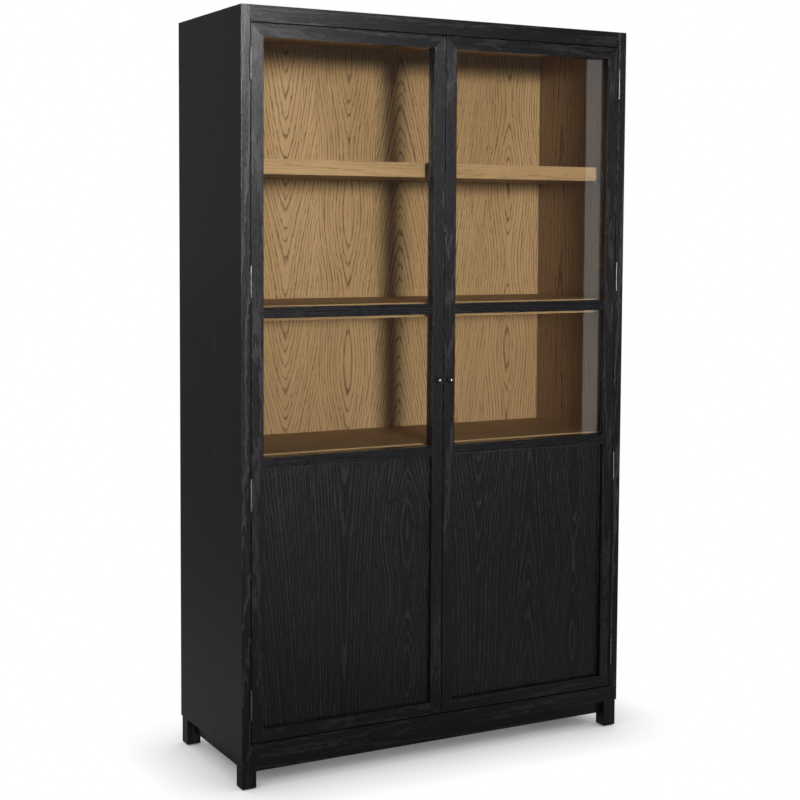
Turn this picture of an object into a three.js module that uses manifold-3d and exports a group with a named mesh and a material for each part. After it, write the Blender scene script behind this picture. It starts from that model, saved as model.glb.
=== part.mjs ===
// A tall free-standing display cabinet: two framed doors with two glass panes over a solid panel, on
// a plain board carcass with thick shelves, standing on four short square legs joined by aprons.
// Millimetres. X runs to the right, Y from front to back, Z up from the floor.
import * as THREE from 'three';
import { mergeVertices } from 'three/addons/utils/BufferGeometryUtils.js';
import Module from 'manifold-3d';

const wasm = await Module();
wasm.setup();

// Driving dimensions.
const width = 1273;
const depth = 475;
const height = 2160;

const glueLine = 0.2; // between boards that are glued or screwed together
const seat = 0.1; // between a metal or plastic fitting and the wood it is screwed to
const overcut = 1; // how far a cut runs past the face it opens

const gableThickness = 27;
const slabHeight = 45; // the top and bottom of the carcass, and the rails in front of them
const railThickness = 22;
const backThickness = 15;
const backInset = 27; // from the gables' rear edges to the back panel
const backGroove = 8;
const carcassLift = 83; // underside of the carcass above the floor

const shelfThickness = 42;
const shelfClearance = 27; // from the back of the doors to a shelf's front edge
const shelfPlay = 1; // each side of a shelf that lifts out
const middleShelfTop = 1344;
const deckTop = 929;

const legSize = 42;
const legInset = 3; // from the carcass's faces to a leg's outer faces
const apronHeight = 42;
const apronSetback = 22; // from a leg's outer face to an apron's
const glideHeight = 3;
const glideRadius = 14;
const glideChamfer = 1;

const doorGap = 3; // around and between the doors
const doorThickness = 35;
const stileWidth = 36;
const crossRailHeight = 30;
const crossRailDrop = 1.5; // from the top of the shelf behind it down to a cross rail's top
const pocketDepth = 8; // of the groove and the rebate in the frame's edges
const pocketPlay = 1; // left beside a pane or panel in its groove
const glassThickness = 4;
const glassRecess = 15; // of the panes behind the door's front
const panelRecess = 14;
const panelThickness = 10;

const hingeCount = 4; // on each door
const hingeHeight = 86;
const hingeEndDistance = 110; // from a door's end to the middle of its nearest hinge
const hingeDepth = 28; // of a leaf, into the gap beside the door
const leafClearance = 0.6; // between the two leaves of a closed hinge
const knuckleCount = 5;
const knuckleGap = 0.4;
const barrelRadius = 3.2;
const barrelClearance = 0.3; // between a barrel and the cabinet's front
const pinRadius = 1.5;
const pinClearance = 0.08;
const barrelSides = 16;

const knobProjection = 20;
const knobHeadRadius = 10;
const knobHeadDepth = 14;
const knobNeckRadius = 4.5;
const knobRoseRadius = 6.5;
const knobRoseThickness = 1.5;
const knobArcSteps = 8;
const turnedSides = 20; // of the knobs and glides

const catchWidth = 46;
const catchHeight = 13;
const catchDepth = 14;
const catchFlange = 8; // each side of the catch's body
const catchFlangeThickness = 2;
const catchClearance = 2; // behind the doors, for their strike plates

// Places worked out from them.
const innerX = width / 2 - gableThickness;
const slabUnderside = height - slabHeight;
const floorTop = carcassLift + slabHeight;
const backFront = depth - backInset - backThickness;
const doorBottom = floorTop + doorGap;
const doorTop = slabUnderside - doorGap;
const doorOuterX = innerX - doorGap;
const doorInnerX = doorGap / 2;
const upperShelfTop = (middleShelfTop + slabUnderside + shelfThickness) / 2; // in equal bays
const baseShelfTop = (floorTop + deckTop) / 2; // in equal bays below the deck

const blackOak = new THREE.MeshStandardMaterial({ color: 0x232327, roughness: 0.55 });
const naturalOak = new THREE.MeshStandardMaterial({ color: 0xa17c52, roughness: 0.6 });
const clearGlass = new THREE.MeshStandardMaterial({
  color: 0xdfe8e6, roughness: 0.05, transparent: true, opacity: 0.25,
});
const hingeSteel = new THREE.MeshStandardMaterial({ color: 0x8d8c88, roughness: 0.4, metalness: 1 });
const gunmetal = new THREE.MeshStandardMaterial({ color: 0x4a4845, roughness: 0.3, metalness: 1 });
const blackPlastic = new THREE.MeshStandardMaterial({ color: 0x161616, roughness: 0.6 });

const cabinet = new THREE.Group();

/** Adds a named piece to the cabinet. */
function add(name, geometry, material) {
  const mesh = new THREE.Mesh(geometry, material);
  mesh.name = name;
  cabinet.add(mesh);
}

/** A block between two values on each axis, given in either order. */
function block([xa, xb], [ya, yb], [za, zb]) {
  const geometry = new THREE.BoxGeometry(Math.abs(xb - xa), Math.abs(yb - ya), Math.abs(zb - za));
  geometry.translate((xa + xb) / 2, (ya + yb) / 2, (za + zb) / 2);
  return geometry;
}

/** A board whose outline is drawn from the front, as [x, z] points, and runs from yFront to yBack. */
function boardFromFront(outline, yFront, yBack) {
  const shape = new THREE.Shape(outline.map(([x, z]) => new THREE.Vector2(x, z)));
  const geometry = new THREE.ExtrudeGeometry(shape, { depth: yBack - yFront, bevelEnabled: false });
  geometry.rotateX(Math.PI / 2);
  geometry.translate(0, yBack, 0);
  return geometry;
}

/** An upright cylinder. */
function post(x, y, zBottom, zTop, radius, sides) {
  const geometry = new THREE.CylinderGeometry(radius, radius, zTop - zBottom, sides);
  geometry.rotateX(Math.PI / 2);
  geometry.translate(x, y, (zBottom + zTop) / 2);
  return geometry;
}

/** A closed geometry as a solid that can be joined and cut. */
function toSolid(geometry) {
  const bare = geometry.clone();
  bare.deleteAttribute('normal');
  bare.deleteAttribute('uv');
  const welded = mergeVertices(bare, 1e-4);
  return new wasm.Manifold(new wasm.Mesh({
    numProp: 3,
    vertProperties: new Float32Array(welded.attributes.position.array),
    triVerts: new Uint32Array(welded.index.array),
  }));
}

/** A solid as a geometry again. */
function toGeometry(solid) {
  const mesh = solid.getMesh();
  const geometry = new THREE.BufferGeometry();
  geometry.setAttribute('position', new THREE.BufferAttribute(mesh.vertProperties, 3));
  geometry.setIndex(new THREE.BufferAttribute(mesh.triVerts, 1));
  geometry.computeVertexNormals();
  return geometry;
}

/** A geometry with others cut away from it. */
function cut(geometry, cutters) {
  let solid = toSolid(geometry);
  for (const cutter of cutters) {
    solid = solid.subtract(toSolid(cutter));
  }
  return toGeometry(solid);
}

/** Several geometries joined into one. */
function join(geometries) {
  let solid = toSolid(geometries[0]);
  for (const geometry of geometries.slice(1)) {
    solid = solid.add(toSolid(geometry));
  }
  return toGeometry(solid);
}

/** Gables, top, floor, their front rails and the back panel, which sits in a groove all round. */
function buildCarcass() {
  const between = [-innerX + glueLine, innerX - glueLine];
  const backPocket = block(
    [-innerX - backGroove, innerX + backGroove],
    [backFront - glueLine, backFront + backThickness + glueLine],
    [floorTop - backGroove, slabUnderside + backGroove],
  );
  for (const [name, side] of [['left_gable', -1], ['right_gable', 1]]) {
    const gable = block([side * innerX, side * width / 2], [0, depth], [carcassLift, height]);
    add(name, cut(gable, [backPocket]), blackOak);
  }
  const behindRail = [railThickness + glueLine, depth];
  const topPanel = block(between, behindRail, [slabUnderside, height]);
  const floorPanel = block(between, behindRail, [carcassLift, floorTop]);
  add('top_panel', cut(topPanel, [backPocket]), blackOak);
  add('floor_panel', cut(floorPanel, [backPocket]), naturalOak);
  add('frieze_rail', block(between, [0, railThickness], [slabUnderside, height]), blackOak);
  add('bottom_rail', block(between, [0, railThickness], [carcassLift, floorTop]), blackOak);
  const backHalfWidth = innerX + backGroove - pocketPlay;
  add('back_panel', block(
    [-backHalfWidth, backHalfWidth],
    [backFront, backFront + backThickness],
    [floorTop - backGroove + pocketPlay, slabUnderside + backGroove - pocketPlay],
  ), naturalOak);
}

/** Thick shelves. The middle two are fixed between the gables, and the others rest on pins. */
function buildShelves() {
  const shelves = [
    ['upper_shelf', upperShelfTop, shelfPlay],
    ['middle_shelf', middleShelfTop, glueLine],
    ['display_deck', deckTop, glueLine],
    ['base_shelf', baseShelfTop, shelfPlay],
  ];
  for (const [name, top, endGap] of shelves) {
    const halfWidth = innerX - endGap;
    add(name, block(
      [-halfWidth, halfWidth],
      [doorThickness + shelfClearance, backFront - endGap],
      [top - shelfThickness, top],
    ), naturalOak);
  }
}

/** Four square legs on glides, joined by four aprons that are flush with the legs' inner faces. */
function buildBase() {
  const underside = carcassLift - glueLine;
  const legOuterX = width / 2 - legInset;
  const legInnerX = legOuterX - legSize;
  const rows = [
    ['front', legInset, legInset + legSize],
    ['back', depth - legInset, depth - legInset - legSize],
  ];
  const sides = [['left', -1], ['right', 1]];
  const apronSpan = [underside - apronHeight, underside];
  for (const [row, outerY, innerY] of rows) {
    for (const [hand, side] of sides) {
      const leg = block([side * legInnerX, side * legOuterX], [outerY, innerY], [glideHeight, underside]);
      add(`${row}_${hand}_leg`, leg, blackOak);
      const glide = new THREE.LatheGeometry([
        new THREE.Vector2(0, 0),
        new THREE.Vector2(glideRadius - glideChamfer, 0),
        new THREE.Vector2(glideRadius, glideChamfer),
        new THREE.Vector2(glideRadius, glideHeight - seat),
        new THREE.Vector2(0, glideHeight - seat),
      ], turnedSides);
      glide.rotateX(Math.PI / 2);
      glide.translate(side * (legInnerX + legOuterX) / 2, (outerY + innerY) / 2, 0);
      add(`${row}_${hand}_glide`, glide, blackPlastic);
    }
    const faceY = outerY + Math.sign(innerY - outerY) * apronSetback;
    const apronHalf = legInnerX - glueLine;
    add(`${row}_apron`, block([-apronHalf, apronHalf], [faceY, innerY], apronSpan), blackOak);
  }
  const sideApronY = [legInset + legSize + glueLine, depth - legInset - legSize - glueLine];
  for (const [hand, side] of sides) {
    const faceX = legOuterX - apronSetback;
    add(`${hand}_apron`, block([side * legInnerX, side * faceX], sideApronY, apronSpan), blackOak);
  }
}

/** The height span of the cross rail in front of a shelf whose top is given. */
function crossRailSpan(shelfTop) {
  const top = shelfTop - crossRailDrop;
  return [top - crossRailHeight, top];
}

/** A knob turned on its own axis: a flat rose on the door, a neck and a flattened round head. */
function turnedKnob() {
  const headCentre = knobProjection - knobHeadDepth / 2;
  const profile = [
    new THREE.Vector2(0, seat),
    new THREE.Vector2(knobRoseRadius, seat),
    new THREE.Vector2(knobRoseRadius, knobRoseThickness),
    new THREE.Vector2(knobNeckRadius, knobRoseThickness),
  ];
  const neckAngle = -Math.acos(knobNeckRadius / knobHeadRadius);
  for (let step = 0; step < knobArcSteps; step += 1) {
    const angle = neckAngle + (Math.PI / 2 - neckAngle) * step / knobArcSteps;
    const radius = knobHeadRadius * Math.cos(angle);
    profile.push(new THREE.Vector2(radius, headCentre + Math.sin(angle) * knobHeadDepth / 2));
  }
  profile.push(new THREE.Vector2(0, knobProjection));
  const knob = new THREE.LatheGeometry(profile, turnedSides);
  knob.rotateX(Math.PI);
  return knob;
}

/** One framed door: mitred outer frame, two cross rails, two panes, a solid panel and a knob. */
function buildDoor(hand, side) {
  const hingeEdge = doorOuterX;
  const lockEdge = doorInnerX;
  const hingeSight = hingeEdge - stileWidth; // the opening's edges, seen from the front
  const lockSight = lockEdge + stileWidth;
  const topSight = doorTop - stileWidth;
  const bottomSight = doorBottom + stileWidth;
  const middle = crossRailSpan(middleShelfTop);
  const low = crossRailSpan(deckTop);

  // The panes lie in a rebate that is open at the back, and the solid panel in a groove.
  const across = (inset) => [side * (lockSight - inset), side * (hingeSight + inset)];
  const glassY = [glassRecess, glassRecess + glassThickness];
  const panelY = [panelRecess, panelRecess + panelThickness];
  const rebateY = [glassY[0] - glueLine, doorThickness + overcut];
  const grooveY = [panelY[0] - glueLine, panelY[1] + glueLine];
  const fillings = [
    ['upper_glass', clearGlass, [middle[1], topSight], glassY, rebateY],
    ['lower_glass', clearGlass, [low[1], middle[0]], glassY, rebateY],
    ['panel', blackOak, [bottomSight, low[0]], panelY, grooveY],
  ];
  const lap = pocketDepth - pocketPlay;
  const pockets = [];
  for (const [piece, material, [zLow, zHigh], pieceY, pocketY] of fillings) {
    add(`${hand}_door_${piece}`, block(across(lap), pieceY, [zLow - lap, zHigh + lap]), material);
    pockets.push(block(across(pocketDepth), pocketY, [zLow - pocketDepth, zHigh + pocketDepth]));
  }

  const stileOutline = (edge, sight) => [
    [side * edge, doorBottom + glueLine],
    [side * sight, bottomSight + glueLine],
    [side * sight, topSight - glueLine],
    [side * edge, doorTop - glueLine],
  ];
  const railOutline = (edgeZ, sightZ) => [
    [side * lockEdge, edgeZ],
    [side * hingeEdge, edgeZ],
    [side * hingeSight, sightZ],
    [side * lockSight, sightZ],
  ];
  const frame = [
    ['hinge_stile', stileOutline(hingeEdge, hingeSight)],
    ['lock_stile', stileOutline(lockEdge, lockSight)],
    ['top_rail', railOutline(doorTop, topSight)],
    ['bottom_rail', railOutline(doorBottom, bottomSight)],
  ];
  for (const [piece, outline] of frame) {
    const board = boardFromFront(outline, 0, doorThickness);
    add(`${hand}_door_${piece}`, cut(board, pockets), blackOak);
  }
  for (const [piece, span] of [['middle_rail', middle], ['low_rail', low]]) {
    const board = block(across(-glueLine), [0, doorThickness], span);
    add(`${hand}_door_${piece}`, cut(board, pockets), blackOak);
  }

  const knob = turnedKnob();
  knob.translate(side * (lockEdge + stileWidth / 2), 0, (low[1] + middle[0]) / 2);
  add(`${hand}_door_knob`, knob, gunmetal);
}

/** The butt hinges of one door: a leaf on the gable with the pin, and a leaf on the door's edge. */
function buildHinges(hand, side) {
  const leafThickness = (doorGap - leafClearance) / 2 - seat;
  const leaves = {
    gable: [side * (innerX - seat), side * (innerX - seat - leafThickness)],
    door: [side * (doorOuterX + seat), side * (doorOuterX + seat + leafThickness)],
  };
  const axisX = side * innerX;
  const axisY = -(barrelRadius + barrelClearance);
  const pitch = hingeHeight / knuckleCount;
  const lowest = doorBottom + hingeEndDistance;
  const step = (doorTop - hingeEndDistance - lowest) / (hingeCount - 1);
  for (let number = 0; number < hingeCount; number += 1) {
    const base = lowest + number * step - hingeHeight / 2;
    const plateZ = [base, base + hingeHeight];
    const parts = {
      gable: [block(leaves.gable, [0, hingeDepth], plateZ)],
      door: [block(leaves.door, [0, hingeDepth], plateZ)],
    };
    for (let knuckle = 0; knuckle < knuckleCount; knuckle += 1) {
      const owner = knuckle % 2 === 0 ? 'gable' : 'door';
      const zBottom = base + knuckle * pitch + knuckleGap / 2;
      const zTop = base + (knuckle + 1) * pitch - knuckleGap / 2;
      parts[owner].push(post(axisX, axisY, zBottom, zTop, barrelRadius, barrelSides));
      parts[owner].push(block(leaves[owner], [axisY, barrelClearance], [zBottom, zTop]));
    }
    parts.gable.push(post(axisX, axisY, base + knuckleGap, plateZ[1] - knuckleGap, pinRadius, barrelSides));
    const boreRadius = pinRadius + pinClearance;
    const bore = post(axisX, axisY, base - overcut, plateZ[1] + overcut, boreRadius, barrelSides);
    add(`${hand}_gable_leaf_${number + 1}`, join(parts.gable), hingeSteel);
    add(`${hand}_door_leaf_${number + 1}`, cut(join(parts.door), [bore]), hingeSteel);
  }
}

/** A magnetic catch under the top, behind the meeting stiles, that holds both doors shut. */
function buildCatch() {
  const catchY = [doorThickness + catchClearance, doorThickness + catchClearance + catchDepth];
  const ceiling = slabUnderside - seat;
  const halfBody = catchWidth / 2;
  const halfFlange = halfBody + catchFlange;
  add('door_catch', join([
    block([-halfBody, halfBody], catchY, [ceiling - catchHeight, ceiling]),
    block([-halfFlange, halfFlange], catchY, [ceiling - catchFlangeThickness, ceiling]),
  ]), blackPlastic);
}

buildCarcass();
buildShelves();
buildBase();
for (const [hand, side] of [['left', -1], ['right', 1]]) {
  buildDoor(hand, side);
  buildHinges(hand, side);
}
buildCatch();

// The origin is on the floor, under the middle of the box that holds the cabinet with its knobs.
cabinet.position.set(0, -(depth - knobProjection) / 2, 0);

export default cabinet;
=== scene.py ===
"""Looks of a tall two-door display cabinet in black-stained oak with a natural oak inside.

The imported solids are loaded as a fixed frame. The classes below dress them with procedural finishes and
add the small parts that the solids leave out: pane beads, hinge pins, screws, shelf pins and the plates
of the magnetic catch. All lengths are metres, with X to the right, Y from front to back and Z up.
"""

import logging
import math
import random
from dataclasses import dataclass
from enum import Enum
from typing import Iterable, Sequence, Union

import bmesh
import bpy
from mathutils import Matrix, Vector


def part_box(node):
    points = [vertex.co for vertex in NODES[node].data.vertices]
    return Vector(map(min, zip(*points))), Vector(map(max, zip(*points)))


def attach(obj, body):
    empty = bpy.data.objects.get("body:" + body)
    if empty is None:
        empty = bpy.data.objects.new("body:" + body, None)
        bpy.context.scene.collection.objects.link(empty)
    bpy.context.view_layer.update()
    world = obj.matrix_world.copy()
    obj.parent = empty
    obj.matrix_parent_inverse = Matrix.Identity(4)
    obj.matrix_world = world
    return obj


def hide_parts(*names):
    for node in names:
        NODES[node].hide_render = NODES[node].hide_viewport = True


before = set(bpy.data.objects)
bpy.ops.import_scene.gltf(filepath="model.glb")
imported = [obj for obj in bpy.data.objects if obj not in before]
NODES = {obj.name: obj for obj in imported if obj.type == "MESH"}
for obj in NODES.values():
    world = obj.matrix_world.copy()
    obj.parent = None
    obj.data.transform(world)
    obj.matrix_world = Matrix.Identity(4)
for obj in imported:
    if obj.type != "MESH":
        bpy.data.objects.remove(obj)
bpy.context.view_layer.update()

LOG = logging.getLogger("cabinet")
MM = 0.001
SHARP_EDGE = math.radians(35.0)

Colour = tuple[float, float, float]
Point = Sequence[float]


class Axis(Enum):
    """A direction of the frame, by its place in a vector."""

    X = 0
    Y = 1
    Z = 2


class Hand(Enum):
    """A side of the cabinet as seen from the front, with its sign along X."""

    LEFT = -1
    RIGHT = 1

    @property
    def word(self) -> str:
        """The name's lower-case form, as it stands in node names."""
        return self.name.lower()


# ---------------------------------------------------------------------------------------------------
# Material wiring
# ---------------------------------------------------------------------------------------------------


@dataclass(frozen=True)
class Signal:
    """One value carried through a material's nodes, with arithmetic that adds Math nodes.

    Attributes:
        wires: the tree that the value belongs to.
        socket: the output that carries it.
    """

    wires: "Wires"
    socket: bpy.types.NodeSocket

    def __add__(self, other: "Number") -> "Signal":
        """The sum."""
        return self.wires.math("ADD", self, other)

    def __sub__(self, other: "Number") -> "Signal":
        """The difference."""
        return self.wires.math("SUBTRACT", self, other)

    def __rsub__(self, other: "Number") -> "Signal":
        """The difference, with this value taken away."""
        return self.wires.math("SUBTRACT", other, self)

    def __mul__(self, other: "Number") -> "Signal":
        """The product."""
        return self.wires.math("MULTIPLY", self, other)

    def __truediv__(self, other: "Number") -> "Signal":
        """The quotient."""
        return self.wires.math("DIVIDE", self, other)

    def clipped(self) -> "Signal":
        """The value held between 0 and 1."""
        return self.wires.math("MAXIMUM", self.wires.math("MINIMUM", self, 1.0), 0.0)

    def step(self, low: float, high: float) -> "Signal":
        """A smooth rise from 0 at low to 1 at high.

        Args:
            low: the value at which the rise starts.
            high: the value at which it ends.

        Returns:
            The risen value.
        """
        node = self.wires.node("ShaderNodeMapRange")
        node.interpolation_type = "SMOOTHSTEP"
        self.wires.feed(node.inputs["Value"], self)
        node.inputs["From Min"].default_value = low
        node.inputs["From Max"].default_value = high
        return Signal(self.wires, node.outputs["Result"])


Number = Union[Signal, float]


class Wires:
    """The node tree of one material, built from expressions."""

    def __init__(self, name: str) -> None:
        """Starts an empty tree.

        Args:
            name: the material's name.
        """
        self.material = bpy.data.materials.new(name)
        self.material.use_nodes = True
        self.tree = self.material.node_tree
        self.tree.nodes.clear()

    def node(self, kind: str) -> bpy.types.Node:
        """A new node of that kind."""
        return self.tree.nodes.new(kind)

    def feed(self, socket: bpy.types.NodeSocket, value: Union[Number, bpy.types.NodeSocket, Point]) -> None:
        """Links a value to a socket, or sets the socket to a constant.

        Args:
            socket: the input socket.
            value: a signal, an output socket or a constant.
        """
        if isinstance(value, Signal):
            self.tree.links.new(value.socket, socket)
        elif isinstance(value, bpy.types.NodeSocket):
            self.tree.links.new(value, socket)
        else:
            socket.default_value = value

    def math(self, operation: str, *values: Number) -> Signal:
        """One Math node.

        Args:
            operation: the node's operation.
            *values: its inputs, in order.

        Returns:
            The node's result.
        """
        node = self.node("ShaderNodeMath")
        node.operation = operation
        for socket, value in zip(node.inputs, values):
            self.feed(socket, value)
        return Signal(self, node.outputs[0])

    def place(self) -> list[Signal]:
        """The surface point in the frame's own coordinates.

        Returns:
            Its X, Y and Z.
        """
        split = self.node("ShaderNodeSeparateXYZ")
        self.feed(split.inputs[0], self.node("ShaderNodeTexCoord").outputs["Object"])
        return [Signal(self, output) for output in split.outputs]

    def pick(self, shares: Sequence[Signal], values: Sequence[float]) -> Signal:
        """One value out of several, by which share is 1 and which are 0.

        Args:
            shares: one share for each value.
            values: the values.

        Returns:
            The picked value.
        """
        total = shares[0] * values[0]
        for share, value in zip(shares[1:], values[1:]):
            total = total + share * value
        return total

    def vector(self, x: Number, y: Number, z: Number) -> bpy.types.NodeSocket:
        """Three values joined into a vector.

        Args:
            x: the first.
            y: the second.
            z: the third.

        Returns:
            The vector's socket.
        """
        node = self.node("ShaderNodeCombineXYZ")
        for socket, value in zip(node.inputs, (x, y, z)):
            self.feed(socket, value)
        return node.outputs[0]

    def noise(self, vector: bpy.types.NodeSocket, scale: float = 1.0, detail: float = 2.0) -> Signal:
        """Soft noise from 0 to 1.

        Args:
            vector: where the noise is read.
            scale: how many features there are to one unit of the vector.
            detail: how many finer layers are added.

        Returns:
            The noise.
        """
        node = self.node("ShaderNodeTexNoise")
        self.feed(node.inputs["Vector"], vector)
        node.inputs["Scale"].default_value = scale
        node.inputs["Detail"].default_value = detail
        return Signal(self, node.outputs[0])

    def blend(self, share: Number, first: Union[Colour, bpy.types.NodeSocket],
              second: Union[Colour, bpy.types.NodeSocket]) -> bpy.types.NodeSocket:
        """Two colours mixed.

        Args:
            share: how much of the second colour there is.
            first: the colour at 0.
            second: the colour at 1.

        Returns:
            The mixed colour's socket.
        """
        node = self.node("ShaderNodeMix")
        node.data_type = "RGBA"
        self.feed(node.inputs[0], share)
        for socket, colour in ((node.inputs[6], first), (node.inputs[7], second)):
            self.feed(socket, (*colour, 1.0) if isinstance(colour, tuple) else colour)
        return node.outputs[2]

    def bump(self, height: Signal, depth: float) -> bpy.types.NodeSocket:
        """A surface normal disturbed by a relief.

        Args:
            height: the relief, from 0 to 1.
            depth: its depth in metres.

        Returns:
            The normal's socket.
        """
        node = self.node("ShaderNodeBump")
        node.inputs["Distance"].default_value = depth
        self.feed(node.inputs["Height"], height)
        return node.outputs[0]

    def principled(self, colour: Union[Colour, bpy.types.NodeSocket], roughness: Number,
                   normal: Union[bpy.types.NodeSocket, None] = None, metallic: float = 0.0,
                   specular: float = 0.5, brushed: float = 0.0) -> bpy.types.Material:
        """Ends the tree with a Principled shader.

        Args:
            colour: the base colour.
            roughness: the roughness.
            normal: a disturbed normal, if there is one.
            metallic: 1 for bare metal.
            specular: the level of the gloss.
            brushed: how much the gloss is drawn out sideways.

        Returns:
            The finished material.
        """
        shader = self.node("ShaderNodeBsdfPrincipled")
        self.feed(shader.inputs["Base Color"], (*colour, 1.0) if isinstance(colour, tuple) else colour)
        self.feed(shader.inputs["Roughness"], roughness)
        shader.inputs["Metallic"].default_value = metallic
        shader.inputs["Specular IOR Level"].default_value = specular
        shader.inputs["Anisotropic"].default_value = brushed
        if normal is not None:
            self.feed(shader.inputs["Normal"], normal)
        return self.end(shader.outputs[0])

    def end(self, shader: bpy.types.NodeSocket) -> bpy.types.Material:
        """Links a shader to the material's output and hands the material over."""
        self.feed(self.node("ShaderNodeOutputMaterial").inputs["Surface"], shader)
        return self.material


# ---------------------------------------------------------------------------------------------------
# Finishes
# ---------------------------------------------------------------------------------------------------


@dataclass(frozen=True)
class Leaf:
    """The arches in one leaf of flat-cut veneer.

    Attributes:
        eye: the height of a closed ring.
        wave: the distance from one closed ring to the next.
        swing: how much the arches open and close round the closed rings.
        lean: how much the rings spread with height; below 0, the arches hang.
        aside: how far the arches stand to the right of the leaf's middle.
        blunt: how blunt the arches are.
    """

    eye: float
    wave: float
    swing: float
    lean: float
    aside: float = 0.0
    blunt: float = 0.012


@dataclass(frozen=True)
class Veneer:
    """Leaves of veneer laid side by side.

    Attributes:
        start: where the first leaf begins, across the grain.
        width: the width of a leaf.
        leaves: the leaves in order.
    """

    start: float
    width: float
    leaves: tuple[Leaf, ...]


@dataclass(frozen=True)
class Sawing:
    """How a board was sawn from its log, which sets where its growth rings run.

    Attributes:
        along: the direction of the grain.
        heart: where the log's heart lies, across the grain, in the frame's coordinates.
        taper: how far the rings lean outwards along the grain.
        seed: shifts the noise, so that no two boards are alike.
        ring: the width of one growth ring.
        veneer: the leaves on its face, if it is veneered.
    """

    along: Axis
    heart: tuple[float, float]
    taper: float = 0.03
    seed: float = 0.0
    ring: float = 0.0075
    veneer: Union[Veneer, None] = None


@dataclass(frozen=True)
class Grain:
    """The signals that one sawing gives, each from 0 to 1.

    Attributes:
        early: the open-pored early wood of each growth ring.
        pores: single pores.
        cloud: broad, soft patches.
        streaks: fine streaks along the grain.
    """

    early: Signal
    pores: Signal
    cloud: Signal
    streaks: Signal


@dataclass(frozen=True)
class Marks:
    """Noise drawn out along the grain.

    Attributes:
        across: how many marks there are to a metre across the grain.
        along: how many there are to a metre along it.
        detail: how many finer layers are added.
    """

    across: float
    along: float
    detail: float = 1.0


@dataclass(frozen=True)
class OakFigure:
    """The figure of oak, alike for every stain.

    Attributes:
        wander: how far the rings stray over a board's length.
        ripple: how far they stray over a finger's width.
        crowding: how much narrower the rings become away from the heart.
        unevenness: how much one ring's width differs from the next, in rings.
        clouds: the broad patches, along which the rings wander.
        ripples: the small waves in the rings.
        dashes: the breaks in the early wood's lines.
        pore_marks: the pores.
        streak_marks: the fine streaks.
    """

    wander: float = 0.030
    ripple: float = 0.0060
    crowding: float = 1.6
    unevenness: float = 0.9
    clouds: Marks = Marks(5.0, 0.9, detail=2.0)
    ripples: Marks = Marks(140.0, 22.0)
    dashes: Marks = Marks(420.0, 55.0)
    pore_marks: Marks = Marks(700.0, 60.0)
    streak_marks: Marks = Marks(230.0, 9.0, detail=2.0)

    def read(self, wires: Wires, sawing: Sawing) -> Grain:
        """Wires up the figure for one board.

        Args:
            wires: the material's tree.
            sawing: how the board was sawn.

        Returns:
            The board's grain signals.
        """
        spot = wires.place()
        run = spot[sawing.along.value]
        across, deep = [spot[axis.value] for axis in Axis if axis is not sawing.along]

        def drawn(marks: Marks) -> Signal:
            """The noise of one kind of mark on this board."""
            vector = wires.vector(across * marks.across, deep * marks.across, run * marks.along + sawing.seed)
            return wires.noise(vector, detail=marks.detail)

        cloud = drawn(self.clouds)
        ripple = drawn(self.ripples)
        if sawing.veneer is None:
            radius = self._log_radius(wires, sawing, across, deep, run)
        else:
            radius = self._leaf_radius(wires, sawing.veneer, across, run)
        radius = radius + (cloud - 0.5) * self.wander + (ripple - 0.5) * self.ripple
        count = radius / sawing.ring
        years = wires.noise(wires.vector(count * 0.45, sawing.seed, 7.0), detail=1.0)
        phase = wires.math("FRACT", count + (years - 0.5) * self.unevenness * 2.0)
        broken = drawn(self.dashes).step(0.3, 0.6) * 0.5 + 0.5
        early = (1.0 - phase.step(0.08, 0.42)) * phase.step(0.0, 0.08) * broken
        pores = drawn(self.pore_marks).step(0.5, 0.68) * (early * 0.6 + 0.4)
        return Grain(early, pores, cloud, drawn(self.streak_marks))

    def _log_radius(self, wires: Wires, sawing: Sawing, across: Signal, deep: Signal,
                    run: Signal) -> Signal:
        """The distance to the heart of a log, leaning with its taper.

        Args:
            wires: the material's tree.
            sawing: how the board was sawn.
            across: the first coordinate across the grain.
            deep: the second.
            run: the coordinate along the grain.

        Returns:
            The distance, in metres.
        """
        side = across - sawing.heart[0]
        back = deep - sawing.heart[1]
        reach = wires.math("SQRT", side * side + back * back)
        return reach + run * sawing.taper

    def _leaf_radius(self, wires: Wires, veneer: Veneer, across: Signal, run: Signal) -> Signal:
        """The same distance for veneer, in which each leaf has arches of its own.

        Args:
            wires: the material's tree.
            veneer: the leaves.
            across: the coordinate across the leaves.
            run: the coordinate along the grain.

        Returns:
            The distance, in metres.
        """
        place = (across - veneer.start) / veneer.width
        number = wires.math("FLOOR", place)
        side = (place - number - 0.5) * veneer.width
        shares = [wires.math("COMPARE", number, float(count), 0.1) for count in range(len(veneer.leaves))]
        side = side - wires.pick(shares, [leaf.aside for leaf in veneer.leaves])
        blunt = wires.pick(shares, [leaf.blunt for leaf in veneer.leaves])
        reach = wires.math("SQRT", side * side + blunt * blunt)
        from_eye = run - wires.pick(shares, [leaf.eye for leaf in veneer.leaves])
        turn_rate = wires.pick(shares, [math.tau / leaf.wave for leaf in veneer.leaves])
        swing = wires.pick(shares, [leaf.swing for leaf in veneer.leaves])
        lean = wires.pick(shares, [leaf.lean for leaf in veneer.leaves])
        opening = (1.0 - wires.math("COSINE", from_eye * turn_rate)) * swing
        leaf_shift = number * 0.0137
        return reach + reach * reach * self.crowding + opening + run * lean + leaf_shift


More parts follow.
